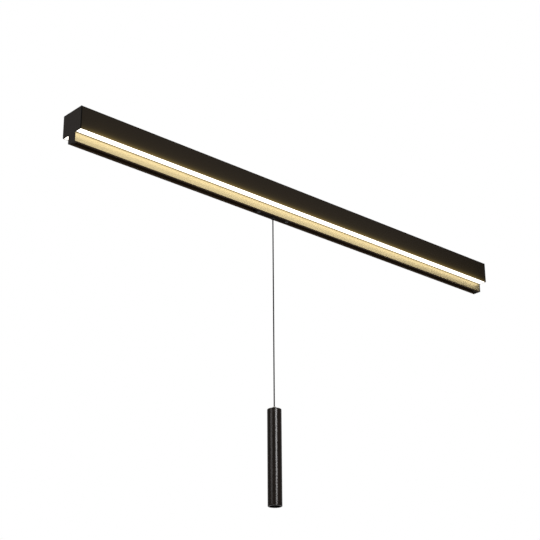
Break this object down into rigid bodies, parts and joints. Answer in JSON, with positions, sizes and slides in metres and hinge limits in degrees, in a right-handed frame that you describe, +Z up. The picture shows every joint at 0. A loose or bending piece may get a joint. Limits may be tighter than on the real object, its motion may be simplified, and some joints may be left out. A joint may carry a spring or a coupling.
{
  "type": "track pendant light",
  "caption": "Linear ceiling bar with opal light strips beside a low-voltage track, and a slim cylinder spotlight hung on a thin cable from a sliding, lockable adapter.",
  "frame": {"origin": "middle of the bar in the ceiling plane, midway between the two ceiling screws", "axes": "+X along the bar, +Y across it to the side away from the picture's camera, +Z up into the ceiling"},
  "size_m": [1.2, 0.06, 0.699],
  "materials": {
    "profile_black": "fine black powder coat on extruded aluminium",
    "cap_black": "moulded black, satin",
    "opal_diffuser": "opal acrylic, satin, lit",
    "gold_anodised": "satin champagne gold anodised",
    "white_board": "white solder mask",
    "led_phosphor": "yellow phosphor",
    "liner_grey": "extruded insulator",
    "copper": "drawn copper",
    "white_plastic": "moulded",
    "contact_gold": "plated brass",
    "zinc_steel": "zinc plated sheet",
    "rubber_black": "moulded rubber",
    "circuit_green": "green solder mask",
    "component_black": "moulded components",
    "lead_brown": "PVC insulated lead",
    "lead_red": "PVC insulated lead",
    "lead_white": "PVC insulated lead",
    "adapter_black": "moulded black",
    "screw_black": "blackened steel",
    "spring_steel": "spring steel",
    "cam_zinc": "die-cast zinc, dark",
    "gland_black": "moulded black",
    "nickel": "satin nickel plate",
    "cable_grey": "grey jacketed cable",
    "tube_black": "gloss black lacquer on turned aluminium",
    "sink_aluminium": "extruded aluminium",
    "lens_glass": "clear lens",
    "baffle_black": "gloss black anti-glare cone"
  },
  "bodies": {
    "housing": {"housing_profile": "profile_black", "end_cap_left": "cap_black", "end_cap_right": "cap_black", "diffuser_front": "opal_diffuser", "diffuser_rear": "opal_diffuser", "gold_trim_front": "gold_anodised", "gold_trim_rear": "gold_anodised", "led_board_front": "white_board", "led_board_rear": "white_board", "led_row_front": "led_phosphor", "led_row_rear": "led_phosphor", "track_insulator": "liner_grey", "conductor_front": "copper", "conductor_rear": "copper", "track_feed_block": "white_plastic", "feed_pins": "contact_gold", "bracket_left": "zinc_steel", "bracket_right": "zinc_steel", "entry_grommet": "rubber_black", "gear_tray": "zinc_steel", "tray_screws": "zinc_steel", "driver_case": "white_plastic", "driver_lid": "white_plastic", "driver_board": "circuit_green", "driver_components": "component_black", "terminal_block": "white_plastic", "terminal_screws": "contact_gold", "mains_leads": "lead_brown", "track_leads": "lead_red", "strip_leads": "lead_white"},
    "carriage": {"adapter_body": "adapter_black", "adapter_cover": "adapter_black", "cover_screws": "screw_black", "adapter_board": "circuit_green", "board_socket": "white_plastic", "contact_barrels": "contact_gold", "contact_spring_front": "spring_steel", "contact_spring_rear": "spring_steel", "gland_retainer": "spring_steel"},
    "contact_front": {"contact_pin_front": "contact_gold"},
    "contact_rear": {"contact_pin_rear": "contact_gold"},
    "lock_left": {"lock_cam_left": "cam_zinc", "cam_spindle_left": "screw_black"},
    "lock_right": {"lock_cam_right": "cam_zinc", "cam_spindle_right": "screw_black"},
    "swivel": {"swivel_gland": "gland_black"},
    "pendant": {"ball_ferrule": "screw_black", "pendant_cable": "cable_grey", "cable_nipple": "nickel", "nipple_nut": "contact_gold", "tube_top_cap": "tube_black", "tube_body": "tube_black", "converter_board": "circuit_green", "converter_parts": "component_black", "heat_sink": "sink_aluminium", "led_module": "white_board", "led_emitter": "led_phosphor", "lens_spacer": "white_plastic", "lens": "lens_glass", "front_baffle": "baffle_black"}
  },
  "joints": [
    {"name": "adapter_slide", "type": "slide", "parent": "housing", "child": "carriage", "axis": [1, 0, 0], "range_m": [-0.461, 0.615]},
    {"name": "lock_turn_left", "type": "hinge", "parent": "carriage", "child": "lock_left", "pos_m": [-0.117, 0, -0.065], "axis": [0, 0, 1], "range_deg": [0, 90]},
    {"name": "lock_turn_right", "type": "hinge", "parent": "carriage", "child": "lock_right", "pos_m": [-0.037, 0, -0.065], "axis": [0, 0, 1], "range_deg": [0, 90]},
    {"name": "contact_press_front", "type": "slide", "parent": "carriage", "child": "contact_front", "axis": [0, 0, 1], "range_m": [-0.001, 0], "stiffness_N_per_m": 400, "springref_m": 0.001, "deforming": ["contact_spring_front"]},
    {"name": "contact_press_rear", "type": "slide", "parent": "carriage", "child": "contact_rear", "axis": [0, 0, 1], "range_m": [-0.001, 0], "stiffness_N_per_m": 400, "springref_m": 0.001, "deforming": ["contact_spring_rear"]},
    {"name": "gland_turn", "type": "hinge", "parent": "carriage", "child": "swivel", "pos_m": [-0.077, 0, -0.0714], "axis": [0, 0, 1], "range_deg": [-175, 175]},
    {"name": "pendant_swing", "type": "hinge", "parent": "swivel", "child": "pendant", "pos_m": [-0.077, 0, -0.0714], "axis": [1, 0, 0], "range_deg": [-25, 25]}
  ]
}
